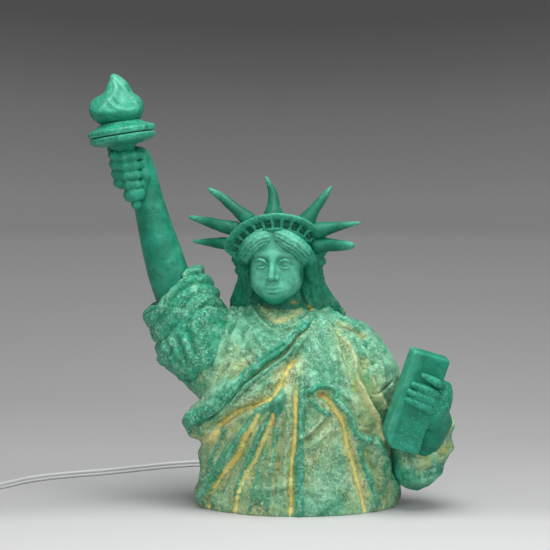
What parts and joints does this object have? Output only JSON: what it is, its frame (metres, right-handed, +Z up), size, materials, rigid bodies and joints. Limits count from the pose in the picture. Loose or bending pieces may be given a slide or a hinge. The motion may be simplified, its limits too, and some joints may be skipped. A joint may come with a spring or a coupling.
{
  "type": "figure table lamp",
  "caption": "Table lamp shaped as a robed bust with a raised torch, a spiked crown and a tablet, lit from inside, on a felted base with a mains cord, switch and plug.",
  "frame": {"origin": "middle of the base's underside, on the table", "axes": "+Z up, -Y the way the figure faces, +X towards the tablet and -X towards the raised torch"},
  "size_m": [0.578, 0.3025, 0.4329],
  "materials": {
    "robe_resin": "translucent cast resin, washed pale verdigris with amber bare creases and a fine dark speckle, lit from inside",
    "green_resin": "cast resin painted copper green, satin, darker in the hollows",
    "base_wood": "plain varnished board",
    "felt": "thin green felt",
    "steel": "zinc plated",
    "brass": "lacquered pressed brass",
    "insert_ivory": "unglazed porcelain",
    "bulb_metal": "bright rolled screw cap",
    "bulb_glass": "pearl glass, lit warm white",
    "bulb_stem": "glass stem with a coiled filament",
    "cord_white": "silvery white flexible sheath with a groove between the two cores",
    "fitting_white": "moulded, satin",
    "wheel_white": "moulded, notched rim",
    "tie_black": "coated wire twist tie"
  },
  "bodies": {
    "lamp": {"torso_shell": "robe_resin", "mantle_roll": "green_resin", "right_sleeve": "green_resin", "left_sleeve": "green_resin", "right_arm": "green_resin", "right_hand": "green_resin", "left_forearm": "green_resin", "left_hand": "green_resin", "tablet": "green_resin", "head_shell": "green_resin", "crown_band": "green_resin", "crown_ray_1": "green_resin", "crown_ray_2": "green_resin", "crown_ray_3": "green_resin", "crown_ray_4": "green_resin", "crown_ray_5": "green_resin", "crown_ray_6": "green_resin", "crown_ray_7": "green_resin", "torch_handle": "green_resin", "gallery_lower_plate": "green_resin", "gallery_upper_plate": "green_resin", "flame": "green_resin", "base_plate": "base_wood", "base_felt": "felt", "fixing_blocks": "base_wood", "base_screws": "steel", "holder_nipple": "steel", "nipple_nuts": "steel", "holder_cap": "brass", "holder_insert": "insert_ivory", "holder_shell": "brass", "centre_contact": "brass", "cord_bush": "fitting_white", "inner_lead": "cord_white", "cord_lead": "cord_white", "cord_coil": "cord_white", "coil_tie": "tie_black", "cord_tail": "cord_white", "cord_tip": "cord_white", "switch_base": "fitting_white", "switch_cover": "fitting_white", "switch_contacts": "brass", "switch_screws": "steel", "plug_body": "fitting_white", "plug_blades": "brass"},
    "bulb": {"bulb_cap": "bulb_metal", "bulb_glass": "bulb_glass", "bulb_stem": "bulb_stem"},
    "switch_wheel": {"switch_wheel": "wheel_white"}
  },
  "joints": [
    {"name": "bulb_lift", "type": "slide", "parent": "lamp", "child": "bulb", "axis": [0, 0, 1], "range_m": [0, 0.03]},
    {"name": "switch_wheel_turn", "type": "hinge", "parent": "lamp", "child": "switch_wheel", "pos_m": [-0.332, -0.004, 0.0102], "axis": [1, 0, 0], "continuous": true}
  ]
}
